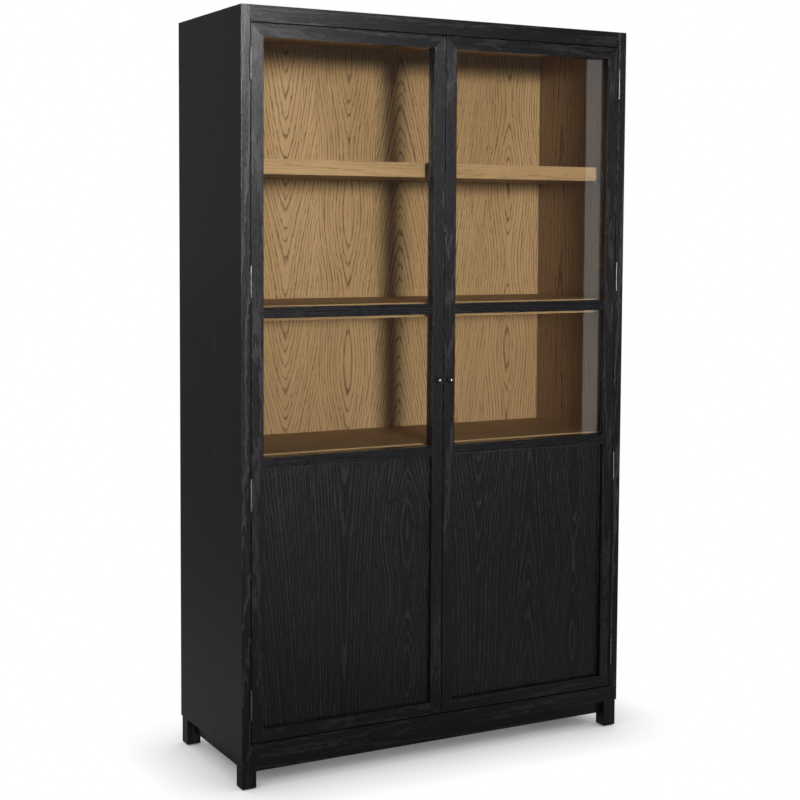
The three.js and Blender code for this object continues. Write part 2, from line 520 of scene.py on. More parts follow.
@dataclass(frozen=True)
class BlackOak:
    """Oak stained black under a satin lacquer that leaves the pores open.

    Attributes:
        ground: the stain's colour.
        line: its colour along the early wood.
        worn: its colour along a rounded edge where the stain wears thin, paler also as a painted highlight
            along the arris.
        roughness: the lacquer's roughness.
        relief: the depth of the pores.
        brushed: how much the lacquer's gloss is drawn out across a vertical grain.
        lines: how strongly the growth rings show.
    """

    ground: Colour = (0.0030, 0.0027, 0.0042)
    line: Colour = (0.050, 0.048, 0.055)
    worn: Colour = (0.050, 0.049, 0.055)
    roughness: float = 0.265
    relief: float = 0.00010
    brushed: float = 0.45
    lines: float = 0.26

    def colour(self, wires: Wires, grain: Grain) -> bpy.types.NodeSocket:
        """The stain, a little paler along the early wood.

        Args:
            wires: the material's tree.
            grain: the board's grain.

        Returns:
            The colour's socket.
        """
        share = grain.early * self.lines + (grain.streaks - 0.5) * 0.5 + grain.pores * 0.10 - 0.05
        return wires.blend(share.clipped(), self.ground, self.line)

    def gloss(self, grain: Grain) -> Signal:
        """The roughness, higher in the pores."""
        return grain.pores * 0.12 + grain.early * 0.06 + grain.streaks * 0.08 + (self.roughness - 0.04)

    def make(self, name: str, sawing: Sawing) -> bpy.types.Material:
        """The material of one board.

        Args:
            name: the material's name.
            sawing: how the board was sawn.

        Returns:
            The material.
        """
        wires = Wires(name)
        grain = OakFigure().read(wires, sawing)
        normal = wires.bump(1.0 - grain.pores * 0.7 - grain.early * 0.3, self.relief)
        brushed = self.brushed if sawing.along is Axis.Z else 0.0
        return wires.principled(self.colour(wires, grain), self.gloss(grain), normal, brushed=brushed)

    def make_edge(self, name: str, sawing: Sawing) -> bpy.types.Material:
        """The same stain, thin in places along an edge, and paler there as a painted highlight along the
        arris.

        Args:
            name: the material's name.
            sawing: how the board was sawn.

        Returns:
            The material.
        """
        wires = Wires(name)
        grain = OakFigure().read(wires, sawing)
        # Pale patches on the rounded edge: partly wear of the stain, partly a painted highlight along the
        # arris.
        wear_and_highlight = grain.streaks.step(0.52, 0.72) * 0.55
        return wires.principled(wires.blend(wear_and_highlight, self.ground, self.worn), self.gloss(grain) + 0.08)


@dataclass(frozen=True)
class NaturalOak:
    """Oak veneer in its own colour under a satin lacquer.

    Attributes:
        ground: the wood's colour.
        pale: its colour in paler patches.
        line: the colour of the early wood and the pores.
        roughness: the lacquer's roughness.
        relief: the depth of the pores.
        lines: how strongly the growth rings show.
        specular: the level of the gloss.
    """

    ground: Colour = (0.345, 0.200, 0.085)
    pale: Colour = (0.405, 0.245, 0.112)
    line: Colour = (0.085, 0.040, 0.014)
    roughness: float = 0.58
    relief: float = 0.0001
    lines: float = 0.85
    specular: float = 0.22

    def colour(self, wires: Wires, grain: Grain) -> bpy.types.NodeSocket:
        """The wood's colour, dark along the early wood and in the pores.

        Args:
            wires: the material's tree.
            grain: the board's grain.

        Returns:
            The colour's socket.
        """
        ground = wires.blend(grain.cloud.step(0.3, 0.7), self.ground, self.pale)
        share = grain.early * self.lines + grain.pores * 0.22 + (grain.streaks - 0.5) * 1.1 + 0.02
        return wires.blend(share.clipped(), ground, self.line)

    def gloss(self, grain: Grain) -> Signal:
        """The roughness, higher in the pores."""
        return grain.pores * 0.2 + grain.streaks * 0.1 + (self.roughness - 0.05)

    def make(self, name: str, sawing: Sawing) -> bpy.types.Material:
        """The material of one board.

        Args:
            name: the material's name.
            sawing: how the board was sawn.

        Returns:
            The material.
        """
        wires = Wires(name)
        grain = OakFigure().read(wires, sawing)
        normal = wires.bump(1.0 - grain.pores * 0.6 - grain.early * 0.4, self.relief)
        return wires.principled(self.colour(wires, grain), self.gloss(grain), normal, specular=self.specular)


@dataclass(frozen=True)
class LinedOak:
    """A board that is black outside and lined with natural oak where it faces the cabinet's inside.

    Attributes:
        low: the lowest corner of the lined space.
        high: its highest corner.
        outside: the finish outside the lined space.
        inside: the finish within it.
    """

    low: tuple[float, float, float]
    high: tuple[float, float, float]
    outside: BlackOak = BlackOak()
    inside: NaturalOak = NaturalOak()

    def make(self, name: str, sawing: Sawing) -> bpy.types.Material:
        """The material of one board.

        Args:
            name: the material's name.
            sawing: how the board was sawn.

        Returns:
            The material.
        """
        wires = Wires(name)
        grain = OakFigure().read(wires, sawing)
        within = None
        for place, low, high in zip(wires.place(), self.low, self.high):
            both = wires.math("GREATER_THAN", place, low) * wires.math("LESS_THAN", place, high)
            within = both if within is None else within * both
        colour = wires.blend(within, self.outside.colour(wires, grain), self.inside.colour(wires, grain))
        dull = self.outside.gloss(grain)
        gloss = dull + within * (self.inside.gloss(grain) - dull)
        normal = wires.bump(1.0 - grain.pores * 0.7 - grain.early * 0.3, self.outside.relief)
        brushed = self.outside.brushed if sawing.along is Axis.Z else 0.0
        return wires.principled(colour, gloss, normal, brushed=brushed)


@dataclass(frozen=True)
class PaneGlass:
    """Clear float glass: what is behind it, under a faint mirror that grows at a slant.

    Attributes:
        tint: what the glass lets through.
        head_on: how much it mirrors when seen head on.
        haze: how much the film on it blurs the mirror.
    """

    tint: Colour = (0.965, 0.98, 0.972)
    head_on: float = 0.022
    haze: float = 0.006

    def make(self, name: str) -> bpy.types.Material:
        """The material of the panes.

        Args:
            name: the material's name.

        Returns:
            The material.
        """
        wires = Wires(name)
        spot = wires.place()
        film = wires.noise(wires.vector(*spot), scale=9.0, detail=4.0)
        clear = wires.node("ShaderNodeBsdfTransparent")
        clear.inputs["Color"].default_value = (*self.tint, 1.0)
        mirror = wires.node("ShaderNodeBsdfGlossy")
        mirror.inputs["Color"].default_value = (1.0, 1.0, 1.0, 1.0)
        wires.feed(mirror.inputs["Roughness"], film * self.haze)
        slant = wires.node("ShaderNodeLayerWeight")
        slant.inputs["Blend"].default_value = 0.5
        facing = Signal(wires, slant.outputs["Facing"])
        share = wires.math("POWER", facing, 5.0) * (1.0 - self.head_on) + self.head_on
        mix = wires.node("ShaderNodeMixShader")
        wires.feed(mix.inputs[0], share)
        wires.feed(mix.inputs[1], clear.outputs[0])
        wires.feed(mix.inputs[2], mirror.outputs[0])
        return wires.end(mix.outputs[0])


@dataclass(frozen=True)
class Metal:
    """A bare or burnished metal with fine brush marks along one direction.

    Attributes:
        ground: the metal's colour.
        dull: its colour where it has dulled.
        roughness: its roughness.
        along: the direction of the brush marks.
        marks: how strongly they show.
    """

    ground: Colour
    dull: Colour
    roughness: float
    along: Axis = Axis.Z
    marks: float = 0.12

    def make(self, name: str) -> bpy.types.Material:
        """The material.

        Args:
            name: the material's name.

        Returns:
            The material.
        """
        wires = Wires(name)
        spot = wires.place()
        stretch = [2500.0, 2500.0, 2500.0]
        stretch[self.along.value] = 90.0
        brushed = wires.noise(wires.vector(*[p * s for p, s in zip(spot, stretch)]), detail=2.0)
        patches = wires.noise(wires.vector(*spot), scale=140.0, detail=3.0)
        colour = wires.blend(patches.step(0.35, 0.75), self.ground, self.dull)
        gloss = (brushed - 0.5) * self.marks + patches * 0.1 + (self.roughness - 0.05)
        return wires.principled(colour, gloss, wires.bump(brushed, 0.00001), metallic=1.0)


@dataclass(frozen=True)
class MouldedPlastic:
    """Black plastic with the fine matt texture of its mould.

    Attributes:
        ground: the plastic's colour.
        dusty: its colour where dust lies.
        roughness: its roughness.
    """

    ground: Colour = (0.012, 0.012, 0.012)
    dusty: Colour = (0.03, 0.03, 0.029)
    roughness: float = 0.55

    def make(self, name: str) -> bpy.types.Material:
        """The material.

        Args:
            name: the material's name.

        Returns:
            The material.
        """
        wires = Wires(name)
        vector = wires.vector(*wires.place())
        texture = wires.noise(vector, scale=2600.0, detail=2.0)
        dust = wires.noise(vector, scale=60.0, detail=3.0)
        colour = wires.blend(dust.step(0.45, 0.8), self.ground, self.dusty)
        return wires.principled(colour, dust * 0.2 + (self.roughness - 0.1), wires.bump(texture, 0.00003))


HINGE_STEEL = Metal(ground=(0.16, 0.155, 0.147), dull=(0.085, 0.082, 0.077), roughness=0.40)
SCREW_STEEL = Metal(ground=(0.62, 0.61, 0.58), dull=(0.45, 0.44, 0.42), roughness=0.3, along=Axis.X)
GUNMETAL = Metal(ground=(0.20, 0.195, 0.19), dull=(0.12, 0.115, 0.11), roughness=0.27, marks=0.05)


BACK_VENEER = Veneer(start=-0.609, width=0.203, leaves=(
    Leaf(eye=2.60, wave=0.70, swing=0.006, lean=-0.20, aside=-0.040),
    Leaf(eye=2.45, wave=0.62, swing=0.007, lean=-0.24, aside=-0.006, blunt=0.010),
    Leaf(eye=1.583, wave=0.47, swing=0.014, lean=-0.06, aside=0.006, blunt=0.009),
    Leaf(eye=0.70, wave=0.80, swing=0.006, lean=0.26, aside=-0.015),
    Leaf(eye=1.20, wave=0.90, swing=0.004, lean=-0.22, aside=-0.110),
    Leaf(eye=1.700, wave=0.52, swing=0.017, lean=0.03, aside=-0.016, blunt=0.010),
))
LEFT_PANEL_VENEER = Veneer(start=-0.615, width=0.201, leaves=(
    Leaf(eye=1.40, wave=1.10, swing=0.004, lean=0.10, aside=-0.060),
    Leaf(eye=1.10, wave=0.90, swing=0.004, lean=-0.05, blunt=0.016),
    Leaf(eye=0.70, wave=0.42, swing=0.016, lean=0.05, aside=0.002),
))
RIGHT_PANEL_VENEER = Veneer(start=0.045, width=0.172, leaves=(
    Leaf(eye=0.98, wave=0.80, swing=0.012, lean=-0.10, blunt=0.010),
    Leaf(eye=1.30, wave=1.30, swing=0.006, lean=0.10, aside=0.010, blunt=0.018),
    Leaf(eye=0.80, wave=0.50, swing=0.018, lean=0.02, blunt=0.009),
))


class Finishes:
    """The materials that many small parts share, each made once."""

    def __init__(self) -> None:
        """Makes the shared materials."""
        self.glass = PaneGlass().make("pane_glass")
        self.hinge = HINGE_STEEL.make("hinge_steel")
        self.screw = SCREW_STEEL.make("screw_steel")
        self.knob = GUNMETAL.make("knob_gunmetal")
        self.plastic = MouldedPlastic().make("moulded_plastic")


# ---------------------------------------------------------------------------------------------------
# Mesh making
# ---------------------------------------------------------------------------------------------------


def new_piece(name: str, bm: bmesh.types.BMesh, material: bpy.types.Material) -> bpy.types.Object:
    """Turns a finished bmesh into an object with shaded edges.

    Args:
        name: the object's name.
        bm: the mesh, which is freed here.
        material: its finish.

    Returns:
        The object.
    """
    bmesh.ops.recalc_face_normals(bm, faces=bm.faces[:])
    mesh = bpy.data.meshes.new(name)
    bm.to_mesh(mesh)
    bm.free()
    mesh.materials.append(material)
    mesh.shade_smooth()
    mesh.set_sharp_from_angle(angle=SHARP_EDGE)
    piece = bpy.data.objects.new(name, mesh)
    bpy.context.scene.collection.objects.link(piece)
    return piece


def rejoin(piece: bpy.types.Object) -> None:
    """Joins a loaded solid's split corners and drops its shading, so that it can be shaded anew.

    Args:
        piece: the solid.
    """
    piece.modifiers.new("joined_corners", "WELD").merge_threshold = 0.01 * MM
    shading = piece.data.attributes.get("custom_normal")
    if shading is not None:
        piece.data.attributes.remove(shading)


def soften(piece: bpy.types.Object, width: float, segments: int = 2) -> None:
    """Rounds a piece's sharp edges.

    Args:
        piece: the object.
        width: the width of the rounding.
        segments: how many facets it has.
    """
    bevel = piece.modifiers.new("rounded_edges", "BEVEL")
    bevel.width = width
    bevel.segments = segments
    bevel.limit_method = "ANGLE"
    bevel.angle_limit = math.radians(40.0)
    bevel.harden_normals = True


def ring_of(bm: bmesh.types.BMesh, radius: float, height: float, segments: int,
            placing: Matrix) -> list[bmesh.types.BMVert]:
    """Adds a ring of vertices about Z.

    Args:
        bm: the mesh to add to.
        radius: the ring's radius.
        height: its height.
        segments: how many vertices it has.
        placing: takes it to its place.

    Returns:
        The ring's vertices, in order.
    """
    ring = []
    for number in range(segments):
        angle = math.tau * number / segments
        spot = Vector((radius * math.cos(angle), radius * math.sin(angle), height))
        ring.append(bm.verts.new(placing @ spot))
    return ring


def turn(bm: bmesh.types.BMesh, profile: Sequence[tuple[float, float]], segments: int,
         placing: Matrix) -> None:
    """Adds a closed turned form whose profile starts and ends on its axis.

    Args:
        bm: the mesh to add to.
        profile: points as (radius, height), the first and last with radius 0.
        segments: how many sides it has.
        placing: takes the form, turned about Z, to its place.
    """
    rings = []
    for radius, height in profile:
        count = segments if radius > 0.0 else 1
        rings.append(ring_of(bm, radius, height, count, placing))
    for lower, upper in zip(rings, rings[1:]):
        for number in range(segments):
            follower = (number + 1) % segments
            corners = [lower[number % len(lower)], lower[follower % len(lower)],
                       upper[follower % len(upper)], upper[number % len(upper)]]
            bm.faces.new(list(dict.fromkeys(corners)))


def prism(bm: bmesh.types.BMesh, outline: Iterable[tuple[float, float]], depth: float,
          placing: Matrix) -> None:
    """Adds a straight prism with a flat outline.

    Args:
        bm: the mesh to add to.
        outline: its outline as (x, y) points.
        depth: its height along Z.
        placing: takes it to its place.
    """
    base = [bm.verts.new(placing @ Vector((x, y, 0.0))) for x, y in outline]
    top = [bm.verts.new(placing @ Vector((x, y, depth))) for x, y in outline]
    bm.faces.new(base)
    bm.faces.new(top)
    for number, start in enumerate(base):
        follower = (number + 1) % len(base)
        bm.faces.new([start, base[follower], top[follower], top[number]])


def rounded_rectangle(width: float, height: float, corner: float,
                      steps: int = 5) -> list[tuple[float, float]]:
    """The outline of a rectangle with round corners, about its middle.

    Args:
        width: its size along X.
        height: its size along Y.
        corner: the radius of its corners.
        steps: how many points a corner has.

    Returns:
        The outline's points.
    """
    outline = []
    for quarter, (sign_x, sign_y) in enumerate(((1, 1), (-1, 1), (-1, -1), (1, -1))):
        centre_x = sign_x * (width / 2 - corner)
        centre_y = sign_y * (height / 2 - corner)
        for step in range(steps):
            angle = math.pi / 2 * (quarter + step / (steps - 1))
            outline.append((centre_x + corner * math.cos(angle), centre_y + corner * math.sin(angle)))
    return outline


def facing(spot: Point, direction: Point) -> Matrix:
    """A placing whose Z points along a direction.

    Args:
        spot: where its origin goes.
        direction: where its Z points.

    Returns:
        The placing.
    """
    turned = Vector(direction).to_track_quat("Z", "Y").to_matrix().to_4x4()
    return Matrix.Translation(Vector(spot)) @ turned


@dataclass(frozen=True)
class ScrewHead:
    """A screw head with a cross recess, countersunk flush or domed.

    Attributes:
        radius: the head's radius.
        dome: how far it stands up.
        recess: half the length of the cross.
        slot: half the width of its arms.
        depth: how deep it goes.
        segments: how many sides the head has.
    """

    radius: float = 3.2 * MM
    dome: float = 0.12 * MM
    recess: float = 1.9 * MM
    slot: float = 0.45 * MM
    depth: float = 1.1 * MM
    segments: int = 24

    def add(self, bm: bmesh.types.BMesh, placing: Matrix) -> None:
        """Adds the head to a mesh.

        Args:
            bm: the mesh to add to.
            placing: takes the head, whose seat is at 0 and which faces Z, to its place.
        """
        flat = max(self.radius * 0.72, self.recess * 1.15)
        sunk = 0.6 * MM
        rings = ((self.radius * 0.9, -sunk), (self.radius, 0.0), (self.radius * 0.93, self.dome * 0.6),
                 (flat, self.dome))
        loops = [ring_of(bm, radius, height, self.segments, placing) for radius, height in rings]
        bm.faces.new(loops[0])
        for lower, upper in zip(loops, loops[1:]):
            self._bridge(bm, lower, upper)
        rim = self._cross(bm, 1.0, self.dome, placing)
        foot = self._cross(bm, 0.6, self.dome - self.depth, placing)
        self._bridge(bm, rim, foot)
        bm.faces.new(foot)
        edges = []
        for loop in (loops[-1], rim):
            for number, vert in enumerate(loop):
                edges.append(bm.edges.get((vert, loop[(number + 1) % len(loop)])))
        bmesh.ops.triangle_fill(bm, use_beauty=True, edges=edges)

    def _cross(self, bm: bmesh.types.BMesh, share: float, height: float,
               placing: Matrix) -> list[bmesh.types.BMVert]:
        """Adds the vertices of the cross's outline.

        Args:
            bm: the mesh to add to.
            share: the outline's share of its full size.
            height: its height over the seat.
            placing: takes the head to its place.

        Returns:
            The outline's vertices, in order.
        """
        far, near = self.recess * share, self.slot * share
        arm = ((far, -near), (far, near), (near, near))
        outline = []
        for quarter in range(4):
            turned = Matrix.Rotation(math.pi / 2 * quarter, 2)
            outline += [turned @ Vector(corner) for corner in arm]
        return [bm.verts.new(placing @ Vector((spot.x, spot.y, height))) for spot in outline]

    def _bridge(self, bm: bmesh.types.BMesh, lower: Sequence[bmesh.types.BMVert],
                upper: Sequence[bmesh.types.BMVert]) -> None:
        """Adds the faces between two rings with as many vertices.

        Args:
            bm: the mesh to add to.
            lower: one ring.
            upper: the other.
        """
        for number, vert in enumerate(lower):
            follower = (number + 1) % len(lower)
            bm.faces.new([vert, lower[follower], upper[follower], upper[number]])


# ---------------------------------------------------------------------------------------------------
# Sub-assemblies
# ---------------------------------------------------------------------------------------------------


def board_seed(name: str) -> random.Random:
    """A fixed source of chance for one board, from its name."""
    return random.Random(f"oak {name}")


@dataclass
class Joinery:
    """Dresses wooden boards: rounds their edges and gives each its own piece of the log.

    Attributes:
        rounding: the width of the softened edges.
        solid_ring: the width of a growth ring in solid boards.
        veneer_ring: its width in flat-cut veneer.
        heart_shift: how far the log's heart may lie from a board's middle, as a share of its width.
        heart_depth: how far behind or in front of a board it lies.
        taper: how far the rings lean outwards along the grain.
    """

    rounding: float = 0.45 * MM
    solid_ring: float = 6.5 * MM
    veneer_ring: float = 12.5 * MM
    heart_shift: float = 0.3
    heart_depth: tuple[float, float] = (0.03, 0.09)
    taper: tuple[float, float] = (0.004, 0.016)

    def sawing(self, name: str, along: Axis, veneer: Union[Veneer, None] = None) -> Sawing:
        """How one board was sawn.

        Args:
            name: the node's name.
            along: the direction of its grain.
            veneer: the leaves on its face, if it is veneered.

        Returns:
            The sawing, the same each time for the same name.
        """
        low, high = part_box(name)
        middle = (low + high) / 2
        size = high - low
        chance = board_seed(name)
        cross = [axis for axis in Axis if axis is not along]
        wide = max(cross, key=lambda axis: size[axis.value])
        heart = []
        for axis in cross:
            if axis is wide:
                offset = chance.uniform(-self.heart_shift, self.heart_shift) * size[axis.value]
            else:
                offset = chance.uniform(*self.heart_depth)
            heart.append(middle[axis.value] + offset)
        taper = chance.choice((-1, 1)) * chance.uniform(*self.taper)
        ring = self.solid_ring if veneer is None else self.veneer_ring
        return Sawing(along, (heart[0], heart[1]), taper, chance.uniform(0.0, 50.0), ring, veneer)

    def dress(self, name: str, finish: Union[BlackOak, NaturalOak, LinedOak], along: Axis,
              veneer: Union[Veneer, None] = None) -> None:
        """Finishes one board.

        Args:
            name: the node's name.
            finish: its finish.
            along: the direction of its grain.
            veneer: the leaves on its face, if it is veneered.
        """
        board = NODES[name]
        rejoin(board)
        board.data.shade_smooth()
        board.data.materials.clear()
        sawing = self.sawing(name, along, veneer)
        board.data.materials.append(finish.make(f"{name}_oak", sawing))
        soften(board, self.rounding)
        # Black boards get a second finish on their rounded edges: patchy wear and a painted highlight along
        # the arris.
        if isinstance(finish, BlackOak):
            board.data.materials.append(finish.make_edge(f"{name}_edge", sawing))
            board.modifiers["rounded_edges"].material = 1
        LOG.info("%s: dressed as %s", name, type(finish).__name__)


@dataclass
class Carcass:
    """The boards that do not move: gables, top, floor, their rails, the back panel and the shelves.

    Attributes:
        joinery: dresses the boards.
        finishes: the shared materials.
        pin_radius: the radius of a shelf pin.
        pin_length: how far it stands out of the gable.
        pin_setback: how far it stands from the shelf's front and back.
        gable_lines: how strongly the rings show in the boards that are black outside.
        shelf_lines: how strongly they show in the shelves.
    """

    joinery: Joinery
    finishes: Finishes
    pin_radius: float = 2.5 * MM
    pin_length: float = 9 * MM
    pin_setback: float = 42 * MM
    gable_lines: float = 0.6
    shelf_lines: float = 0.22

    def build(self) -> None:
        """Dresses the boards and adds the shelf pins."""
        lined = self._lining()
        for hand in Hand:
            self.joinery.dress(f"{hand.word}_gable", lined, Axis.Z)
        for name in ("top_panel", "floor_panel"):
            self.joinery.dress(name, lined, Axis.X)
        for name in ("frieze_rail", "bottom_rail"):
            self.joinery.dress(name, BlackOak(), Axis.X)
        self.joinery.dress("back_panel", NaturalOak(), Axis.Z, BACK_VENEER)
        for name in ("upper_shelf", "middle_shelf", "display_deck", "base_shelf"):
            self.joinery.dress(name, NaturalOak(lines=self.shelf_lines), Axis.X)
        for name in ("upper_shelf", "base_shelf"):
            self._pins(name)

    def _lining(self) -> LinedOak:
        """The finish of the boards round the inside, which is lined behind the doors.

        Returns:
            The finish.
        """
        door_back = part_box("left_door_hinge_stile")[1].y
        back_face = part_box("back_panel")[0].y
        gable_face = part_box("right_gable")[0].x
        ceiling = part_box("top_panel")[0].z
        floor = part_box("floor_panel")[1].z
        skin = 0.5 * MM
        low = (-gable_face - skin, door_back, floor - skin)
        high = (gable_face + skin, back_face + skin, ceiling + skin)
        return LinedOak(low, high, BlackOak(lines=self.gable_lines))

    def _pins(self, shelf: str) -> None:
        """Adds the four steel pins that one shelf rests on.

        Args:
            shelf: the shelf's node.
        """
        low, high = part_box(shelf)
        gable_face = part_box("right_gable")[0].x
        collar = 0.8 * MM
        rim = 0.5 * MM
        profile = ((0.0, 0.0), (self.pin_radius * 1.6, 0.0), (self.pin_radius * 1.6, collar),
                   (self.pin_radius, collar), (self.pin_radius, self.pin_length - rim),
                   (self.pin_radius - rim, self.pin_length), (0.0, self.pin_length))
        for hand in Hand:
            for place, y in (("front", low.y + self.pin_setback), ("back", high.y - self.pin_setback)):
                bm = bmesh.new()
                spot = (hand.value * gable_face, y, low.z - self.pin_radius)
                turn(bm, profile, 24, facing(spot, (-hand.value, 0.0, 0.0)))
                pin = new_piece(f"{shelf}_pin_{place}_{hand.word}", bm, self.finishes.screw)
                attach(pin, "carcass")
                LOG.info("%s: built", pin.name)


@dataclass
class Base:
    """Legs, aprons and the turned glides under the legs.

    Attributes:
        joinery: dresses the boards.
        finishes: the shared materials.
        rim: the rounding of a glide's lower edge.
    """

    joinery: Joinery
    finishes: Finishes
    rim: float = 0.9 * MM

    def build(self) -> None:
        """Dresses the wooden parts and turns the glides."""
        for name in ("front_apron", "back_apron"):
            self.joinery.dress(name, BlackOak(), Axis.X)
        for hand in Hand:
            self.joinery.dress(f"{hand.word}_apron", BlackOak(), Axis.Y)
            for row in ("front", "back"):
                self.joinery.dress(f"{row}_{hand.word}_leg", BlackOak(), Axis.Z)
                self._glide(f"{row}_{hand.word}_glide")

    def _glide(self, node: str) -> None:
        """Turns one glide in place of its plain solid.

        Args:
            node: the glide's node.
        """
        low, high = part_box(node)
        radius = (high.x - low.x) / 2
        height = high.z - low.z
        profile = [(0.0, 0.0), (radius - self.rim, 0.0)]
        for step in range(1, 5):
            angle = math.pi / 2 * step / 4
            profile.append((radius - self.rim * (1 - math.sin(angle)), self.rim * (1 - math.cos(angle))))
        profile += [(radius, height), (0.0, height)]
        bm = bmesh.new()
        turn(bm, profile, 40, Matrix.Translation(((low.x + high.x) / 2, (low.y + high.y) / 2, low.z)))
        glide = new_piece(f"{node}_pad", bm, self.finishes.plastic)
        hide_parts(node)
        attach(glide, "carcass")
        LOG.info("%s: built", glide.name)


@dataclass
class Door:
    """One door: its mitred frame, panes with beads behind them, solid panel, knob and strike plate.

    Attributes:
        hand: the side it hangs on.
        joinery: dresses the boards.
        finishes: the shared materials.
        bead_width: the width of the beads that hold the panes.
        bead_lap: how far they lap over a pane's edge.
    """

    hand: Hand
    joinery: Joinery
    finishes: Finishes
    bead_width: float = 7.0 * MM
    bead_lap: float = 6.6 * MM

    @property
    def word(self) -> str:
        """The start of this door's node names."""
        return f"{self.hand.word}_door"

    def build(self) -> None:
        """Dresses the frame and adds the parts on it."""
        for piece in ("hinge_stile", "lock_stile"):
            self.joinery.dress(f"{self.word}_{piece}", BlackOak(), Axis.Z)
        veneer = LEFT_PANEL_VENEER if self.hand is Hand.LEFT else RIGHT_PANEL_VENEER
        self.joinery.dress(f"{self.word}_panel", BlackOak(), Axis.Z, veneer)
        for piece in ("top_rail", "middle_rail", "low_rail", "bottom_rail"):
            self.joinery.dress(f"{self.word}_{piece}", BlackOak(), Axis.X)
        for pane in ("upper_glass", "lower_glass"):
            self._pane(f"{self.word}_{pane}")
        self._knob()
        self._strike()

    def _mount(self, piece: bpy.types.Object) -> None:
        """Hangs a piece on this door.

        Args:
            piece: the piece.
        """
        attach(piece, self.word)
        LOG.info("%s: built", piece.name)

    def _pane(self, node: str) -> None:
        """Dresses a pane and fills the rebate behind it with mitred beads, flush with the door's back.

        Args:
            node: the pane's node.
        """
        pane = NODES[node]
        rejoin(pane)
        pane.data.materials.clear()
        pane.data.materials.append(self.finishes.glass)
        low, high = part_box(node)
        inner = (low.x + self.bead_lap, high.x - self.bead_lap, low.z + self.bead_lap, high.z - self.bead_lap)
        wide = self.bead_width
        outer = (inner[0] - wide, inner[1] + wide, inner[2] - wide, inner[3] + wide)
        joint = 0.15 * MM
        door_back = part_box(f"{self.word}_lock_stile")[1].y
        bm = bmesh.new()
        placing = facing((0.0, door_back, 0.0), (0.0, -1.0, 0.0))
        for outline in self._mitred(inner, outer, joint):
            flat = [placing.inverted() @ Vector((x, placing.translation.y, z)) for x, z in outline]
            prism(bm, [(spot.x, spot.y) for spot in flat], door_back - high.y, placing)
        oak = BlackOak().make(f"{node}_bead_oak", self.joinery.sawing(node, Axis.Z))
        beads = new_piece(f"{node}_beads", bm, oak)
        soften(beads, 0.6 * MM, 3)
        self._mount(beads)
        self._brads(node, inner, outer, door_back)

    def _mitred(self, inner: Sequence[float], outer: Sequence[float],
                joint: float) -> list[list[tuple[float, float]]]:
        """The four outlines of a mitred frame, with fine joints.

        Args:
            inner: the opening's left, right, lower and upper edges.
            outer: the same of the frame's outside.
            joint: the width of the joints, along an edge.

        Returns:
            Four outlines of (x, z) points.
        """
        (x0, x1, z0, z1), (u0, u1, v0, v1) = inner, outer
        return [
            [(u0, v0 + joint), (x0, z0 + joint), (x0, z1 - joint), (u0, v1 - joint)],
            [(u1, v0 + joint), (x1, z0 + joint), (x1, z1 - joint), (u1, v1 - joint)],
            [(u0 + joint, v0), (x0 + joint, z0), (x1 - joint, z0), (u1 - joint, v0)],
            [(u0 + joint, v1), (x0 + joint, z1), (x1 - joint, z1), (u1 - joint, v1)],
        ]

    def _brads(self, node: str, inner: Sequence[float], outer: Sequence[float], back: float) -> None:
        """Adds the heads of the brads that hold a pane's beads.

        Args:
            node: the pane's node.
            inner: the opening's edges.
            outer: the beads' outer edges.
            back: the Y of the beads' rear face.
        """
        pitch = 140 * MM
        radius = 0.9 * MM
        sunk, crown = 0.4 * MM, 0.2 * MM
        share = 0.3
        x_low, x_high = (inner[i] * share + outer[i] * (1 - share) for i in (0, 1))
        z_low, z_high = (inner[i] * share + outer[i] * (1 - share) for i in (2, 3))
        spots = []
        for start, end, fixed, level in ((x_low, x_high, (z_low, z_high), True),
                                         (z_low, z_high, (x_low, x_high), False)):
            count = max(2, round((end - start) / pitch))
            for number in range(count):
                run = start + (end - start) * (number + 0.5) / count
                spots += [(run, edge) if level else (edge, run) for edge in fixed]
        bm = bmesh.new()
        profile = ((0.0, -sunk), (radius, -sunk), (radius, 0.0), (radius * 0.7, crown * 0.75), (0.0, crown))
        for x, z in spots:
            turn(bm, profile, 10, facing((x, back, z), (0.0, 1.0, 0.0)))
        self._mount(new_piece(f"{node}_brads", bm, self.finishes.screw))

    def _knob(self) -> None:
        """Turns the knob in place of its plain solid and adds the screw behind it."""
        node = f"{self.word}_knob"
        low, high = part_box(node)
        radius = (high.x - low.x) / 2
        length = high.y - low.y
        centre_x, centre_z = (low.x + high.x) / 2, (low.z + high.z) / 2
        neck, rose, rose_height = 4.2 * MM, 6.5 * MM, 1.5 * MM
        half_depth = 7.0 * MM
        middle = length - half_depth
        profile = [(0.0, 0.0), (rose, 0.0), (rose, rose_height * 0.6), (rose - 0.5 * MM, rose_height),
                   (neck + 0.9 * MM, rose_height + 0.2 * MM), (neck, rose_height + 1.1 * MM)]
        start = -math.acos(neck / radius)
        steps = 18
        for step in range(1, steps):
            angle = start + (math.pi / 2 - start) * step / steps
            profile.append((radius * math.cos(angle), middle + half_depth * math.sin(angle)))
        profile.append((0.0, length))
        bm = bmesh.new()
        turn(bm, profile, 48, facing((centre_x, high.y, centre_z), (0.0, -1.0, 0.0)))
        knob = new_piece(f"{node}_turned", bm, self.finishes.knob)
        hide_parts(node)
        self._mount(knob)
        bm = bmesh.new()
        door_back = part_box(f"{self.word}_lock_stile")[1].y
        head = ScrewHead(radius=4.0 * MM, dome=1.9 * MM)
        head.add(bm, facing((centre_x, door_back, centre_z), (0.0, 1.0, 0.0)))
        self._mount(new_piece(f"{node}_screw", bm, self.finishes.screw))

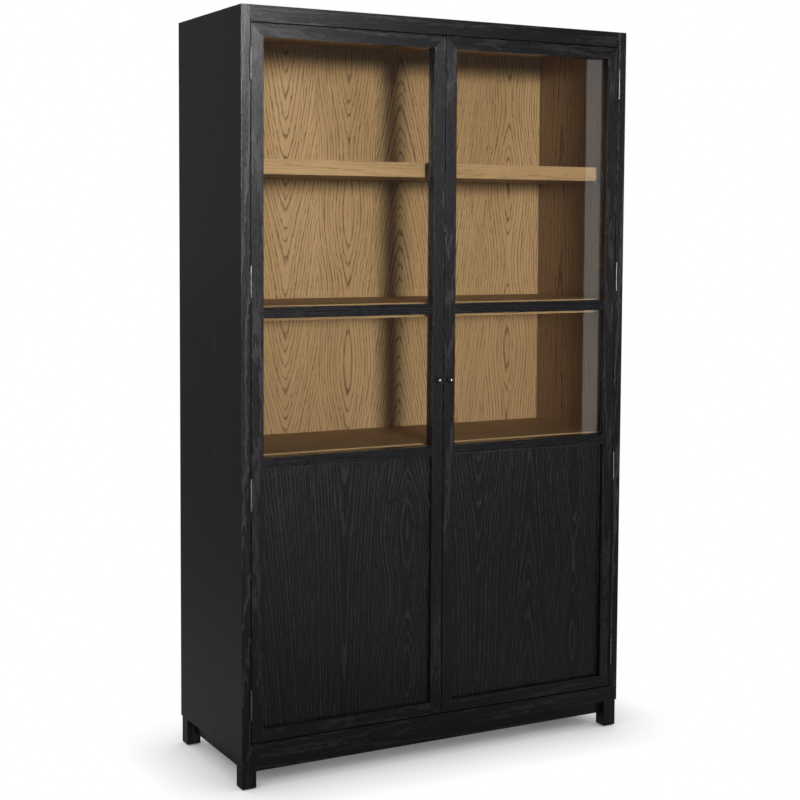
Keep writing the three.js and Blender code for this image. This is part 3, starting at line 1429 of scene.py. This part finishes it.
    def _strike(self) -> None:
        """Adds the steel plate that the magnetic catch holds."""
        width, height, thickness = 26 * MM, 9 * MM, 0.8 * MM
        from_side, from_top, corner = 3 * MM, 1 * MM, 1.5 * MM
        low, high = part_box(f"{self.word}_top_rail")
        inner_edge = low.x if self.hand is Hand.RIGHT else high.x
        x = inner_edge + self.hand.value * (width / 2 + from_side)
        spot = (x, high.y, high.z - height / 2 - from_top)
        bm = bmesh.new()
        prism(bm, rounded_rectangle(width, height, corner), thickness, facing(spot, (0.0, 1.0, 0.0)))
        plate = new_piece(f"{self.word}_strike_plate", bm, self.finishes.hinge)
        soften(plate, 0.15 * MM)
        self._mount(plate)


@dataclass
class HingeSet:
    """The butt hinges of one door: smooth leaves, pins with rounded tips, and countersunk screws.

    Attributes:
        hand: the side they are on.
        finishes: the shared materials.
        count: how many hinges there are.
        tip: how far a pin's tip stands out of the barrel.
        screw_rows: where a leaf's screws stand, as shares of its height and of the screws' span.
        screw_span: the span from a leaf's rear edge that the second share counts from.
        screw: the screws' heads.
    """

    hand: Hand
    finishes: Finishes
    count: int = 4
    tip: float = 1.6 * MM
    screw_rows: Sequence[tuple[float, float]] = ((0.16, 0.62), (0.5, 0.78), (0.84, 0.62))
    screw_span: float = 28 * MM
    screw: ScrewHead = ScrewHead()

    def build(self) -> None:
        """Builds every hinge."""
        for number in range(1, self.count + 1):
            gable = f"{self.hand.word}_gable_leaf_{number}"
            door = f"{self.hand.word}_door_leaf_{number}"
            self._leaf(gable, "carcass", toward=-self.hand.value)
            self._leaf(door, f"{self.hand.word}_door", toward=self.hand.value)
            self._pin(gable, number)

    def _leaf(self, node: str, body: str, toward: int) -> None:
        """Copies one leaf with its barrel shaded round and adds its screws.

        Args:
            node: the leaf's node.
            body: what it rides on.
            toward: the sign along X of the side that its screws are driven from.
        """
        bm = bmesh.new()
        bm.from_mesh(NODES[node].data)
        bmesh.ops.remove_doubles(bm, verts=bm.verts[:], dist=0.001 * MM)
        bmesh.ops.dissolve_limit(bm, angle_limit=math.radians(1.0), verts=bm.verts[:], edges=bm.edges[:])
        leaf = new_piece(f"{node}_plate", bm, self.finishes.hinge)
        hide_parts(node)
        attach(leaf, body)
        low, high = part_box(node)
        face = self._plate_face(node, toward)
        bm = bmesh.new()
        for share, depth in self.screw_rows:
            spot = (face, high.y - (1 - depth) * self.screw_span, low.z + (high.z - low.z) * share)
            self.screw.add(bm, facing(spot, (toward, 0.0, 0.0)))
        screws = new_piece(f"{node}_screws", bm, self.finishes.screw)
        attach(screws, body)
        LOG.info("%s: built with its screws", leaf.name)

    def _plate_face(self, node: str, toward: int) -> float:
        """Finds a leaf's flat face on the side that its screws are driven from.

        Args:
            node: the leaf's node.
            toward: the sign along X of that side.

        Returns:
            The face's X.
        """
        low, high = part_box(node)
        behind = [vert.co.x for vert in NODES[node].data.vertices if vert.co.y > high.y - 0.1 * MM]
        return max(behind) if toward > 0 else min(behind)

    def _pin(self, node: str, number: int) -> None:
        """Adds the rounded tips at both ends of a hinge's pin.

        Args:
            node: the node of the leaf that holds the pin.
            number: the hinge's number.
        """
        low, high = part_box(node)
        barrel = (high.x - low.x) / 2
        gable_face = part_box("right_gable")[0].x
        spot = Vector((self.hand.value * gable_face, low.y + barrel, 0.0))
        radius = barrel * 0.96
        sunk, rim = 0.3 * MM, 0.2 * MM
        profile = [(0.0, -sunk), (radius, -sunk), (radius, rim)]
        steps = 6
        for step in range(1, steps):
            angle = math.pi / 2 * step / steps
            profile.append((radius * math.cos(angle), rim + (self.tip - rim) * math.sin(angle)))
        profile.append((0.0, self.tip))
        bm = bmesh.new()
        turn(bm, profile, 32, facing(spot + Vector((0.0, 0.0, high.z)), (0.0, 0.0, 1.0)))
        turn(bm, profile, 32, facing(spot + Vector((0.0, 0.0, low.z)), (0.0, 0.0, -1.0)))
        tips = new_piece(f"{self.hand.word}_hinge_{number}_pin_tips", bm, self.finishes.hinge)
        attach(tips, "carcass")
        LOG.info("%s: built", tips.name)


@dataclass
class Catch:
    """The magnetic catch under the top: its case, two magnets and the screws in its flanges.

    Attributes:
        finishes: the shared materials.
        magnet_width: the width of one magnet.
        magnet_height: its height.
        proud: how far it stands out of the case.
        magnet_offset: how far its middle lies from the middle of the case.
        screw_inset: how far a screw lies from the end of its flange.
        flange: the thickness of the flanges.
        screw: the screws' heads.
    """

    finishes: Finishes
    magnet_width: float = 17 * MM
    magnet_height: float = 7 * MM
    proud: float = 0.9 * MM
    magnet_offset: float = 12 * MM
    screw_inset: float = 4 * MM
    flange: float = 2 * MM
    screw: ScrewHead = ScrewHead(radius=2.6 * MM, recess=1.4 * MM)

    def build(self) -> None:
        """Dresses the case and adds the metal parts."""
        case = NODES["door_catch"]
        rejoin(case)
        case.data.shade_smooth()
        case.data.materials.clear()
        case.data.materials.append(self.finishes.plastic)
        soften(case, 0.5 * MM)
        low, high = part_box("door_catch")
        middle_z = low.z + (high.z - low.z) * 0.45
        for hand in Hand:
            bm = bmesh.new()
            spot = (hand.value * self.magnet_offset, low.y, middle_z)
            outline = rounded_rectangle(self.magnet_width, self.magnet_height, 1.0 * MM)
            prism(bm, outline, self.proud, facing(spot, (0.0, -1.0, 0.0)))
            magnet = new_piece(f"door_catch_magnet_{hand.word}", bm, self.finishes.hinge)
            soften(magnet, 0.2 * MM)
            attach(magnet, "carcass")
            LOG.info("%s: built", magnet.name)
        bm = bmesh.new()
        for hand in Hand:
            spot = (hand.value * (high.x - self.screw_inset), (low.y + high.y) / 2, high.z - self.flange)
            self.screw.add(bm, facing(spot, (0.0, 0.0, -1.0)))
        screws = new_piece("door_catch_screws", bm, self.finishes.screw)
        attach(screws, "carcass")
        LOG.info("%s: built", screws.name)


# ---------------------------------------------------------------------------------------------------
# Studio
# ---------------------------------------------------------------------------------------------------


@dataclass
class ViewCamera:
    """The camera, at standing eye height to the left of the cabinet's front.

    Attributes:
        place: where it stands.
        turn_degrees: its rotation about X, Y and Z.
        lens: its focal length in millimetres.
        shift: how far its frame is shifted, as shares of the frame's width.
    """

    place: tuple[float, float, float] = (-2.2795, -4.1567, 1.5696)
    turn_degrees: tuple[float, float, float] = (86.088, -0.304, -28.091)
    lens: float = 70.40
    shift: tuple[float, float] = (0.0132, -0.085)

    def build(self) -> None:
        """Makes the scene's camera."""
        data = bpy.data.cameras.new("view")
        data.lens = self.lens
        data.sensor_width = 36.0
        data.shift_x, data.shift_y = self.shift
        camera = bpy.data.objects.new("view", data)
        camera.location = self.place
        camera.rotation_euler = [math.radians(angle) for angle in self.turn_degrees]
        bpy.context.scene.collection.objects.link(camera)
        bpy.context.scene.camera = camera
        LOG.info("camera: placed")


@dataclass
class Lamp:
    """A soft rectangular lamp.

    Attributes:
        name: its name.
        place: where it stands.
        target: where it points.
        width: its width.
        height: its height.
        radiance: how bright its face is.
        spread: how wide its light spreads, in degrees.
        only_for: the objects it lights, or nothing for all.
    """

    name: str
    place: tuple[float, float, float]
    target: tuple[float, float, float]
    width: float
    height: float
    radiance: float
    spread: float = 180.0
    only_for: tuple[str, ...] = ()

    def build(self) -> None:
        """Makes the lamp."""
        data = bpy.data.lights.new(self.name, "AREA")
        data.shape = "RECTANGLE"
        data.size, data.size_y = self.width, self.height
        data.energy = self.radiance * math.pi * self.width * self.height
        data.spread = math.radians(self.spread)
        lamp = bpy.data.objects.new(self.name, data)
        lamp.location = self.place
        aim = Vector(self.target) - Vector(self.place)
        lamp.rotation_euler = aim.to_track_quat("-Z", "Y").to_euler()
        bpy.context.scene.collection.objects.link(lamp)
        if self.only_for:
            lit = bpy.data.collections.new(f"{self.name}_lit")
            for node in self.only_for:
                lit.objects.link(NODES[node])
            lamp.light_linking.receiver_collection = lit
        LOG.info("%s lamp: placed", self.name)


@dataclass
class Studio:
    """A white floor and surround, with the cabinet's soft contact shadow painted on the glowing floor, and
    soft lamps.

    Attributes:
        floor_colour: the floor's colour as the cabinet's own surfaces see it.
        shade_reach: how far from the cabinet the painted contact shadow reaches.
        shade_strength: how dark the painted contact shadow is.
        sky: the light that comes from all round.
        lamps: the lamps.
    """

    floor_colour: Colour = (0.72, 0.72, 0.72)
    shade_reach: float = 0.23
    shade_strength: float = 0.82
    sky: float = 0.17
    lamps: Sequence[Lamp] = (
        Lamp("front", (-2.0, -14.0, 2.55), (0.0, 0.2, 1.60), 3.2, 2.4, 1.25, 14.0),
        Lamp("sheen", (1.70, -14.0, 4.70), (-0.9, 0.2, 2.55), 1.4, 1.4, 0.62, 8.0),
        Lamp("side", (3.13, -3.33, 1.45), (0.55, -0.2, 1.45), 0.70, 2.5, 1.75, 180.0,
             ("right_door_upper_glass", "right_door_lower_glass")),
        Lamp("rear", (4.5, 12.0, 3.4), (0.2, 0.2, 1.2), 3.2, 2.4, 0.85, 14.0),
    )

    def build(self) -> None:
        """Makes the floor, the surround and the lamps."""
        scene = bpy.context.scene
        scene.view_settings.view_transform = "Standard"
        self._surround(scene)
        self._floor()
        for lamp in self.lamps:
            lamp.build()

    def _surround(self, scene: bpy.types.Scene) -> None:
        """Makes a white surround that lights less than it shows.

        Args:
            scene: the scene that it goes in.
        """
        world = bpy.data.worlds.new("surround")
        world.use_nodes = True
        tree = world.node_tree
        tree.nodes.clear()
        seen = tree.nodes.new("ShaderNodeBackground")
        seen.inputs["Color"].default_value = (1.0, 1.0, 1.0, 1.0)
        shed = tree.nodes.new("ShaderNodeBackground")
        shed.inputs["Color"].default_value = (1.0, 1.0, 1.0, 1.0)
        shed.inputs["Strength"].default_value = self.sky
        path = tree.nodes.new("ShaderNodeLightPath")
        mix = tree.nodes.new("ShaderNodeMixShader")
        output = tree.nodes.new("ShaderNodeOutputWorld")
        tree.links.new(path.outputs["Is Camera Ray"], mix.inputs[0])
        tree.links.new(shed.outputs[0], mix.inputs[1])
        tree.links.new(seen.outputs[0], mix.inputs[2])
        tree.links.new(mix.outputs[0], output.inputs[0])
        scene.world = world

    def _floor(self) -> None:
        """Makes a wide floor that glows white to the camera, with a contact shadow painted from ambient
        occlusion where the cabinet stands close over it.
        """
        wires = Wires("studio_floor")
        # The floor's look to the camera is painted: it glows, dimmed by ambient occlusion into a painted
        # contact shadow; other rays see the plain diffuse floor.
        shade = wires.node("ShaderNodeAmbientOcclusion")
        shade.samples = 16
        shade.inputs["Distance"].default_value = self.shade_reach
        painted_shade_level = wires.math("POWER", Signal(wires, shade.outputs["AO"]), self.shade_strength)
        # painted glow of the floor, seen only by the camera
        lit = wires.node("ShaderNodeEmission")
        wires.feed(lit.inputs["Strength"], painted_shade_level)
        plaster = wires.node("ShaderNodeBsdfDiffuse")
        plaster.inputs["Color"].default_value = (*self.floor_colour, 1.0)
        path = wires.node("ShaderNodeLightPath")
        mix = wires.node("ShaderNodeMixShader")
        wires.feed(mix.inputs[0], path.outputs["Is Camera Ray"])
        wires.feed(mix.inputs[1], plaster.outputs[0])
        wires.feed(mix.inputs[2], lit.outputs[0])
        bm = bmesh.new()
        bmesh.ops.create_grid(bm, x_segments=8, y_segments=8, size=30.0)
        floor = new_piece("studio_floor", bm, wires.end(mix.outputs[0]))


def main() -> None:
    """Builds the studio and the cabinet's sub-assemblies in order."""
    logging.basicConfig(level=logging.INFO, format="%(message)s")
    ViewCamera().build()
    Studio().build()
    finishes = Finishes()
    joinery = Joinery()
    Carcass(joinery, finishes).build()
    Base(joinery, finishes).build()
    for hand in Hand:
        Door(hand, joinery, finishes).build()
        HingeSet(hand, finishes).build()
    Catch(finishes).build()


if __name__ == "__main__":
    main()
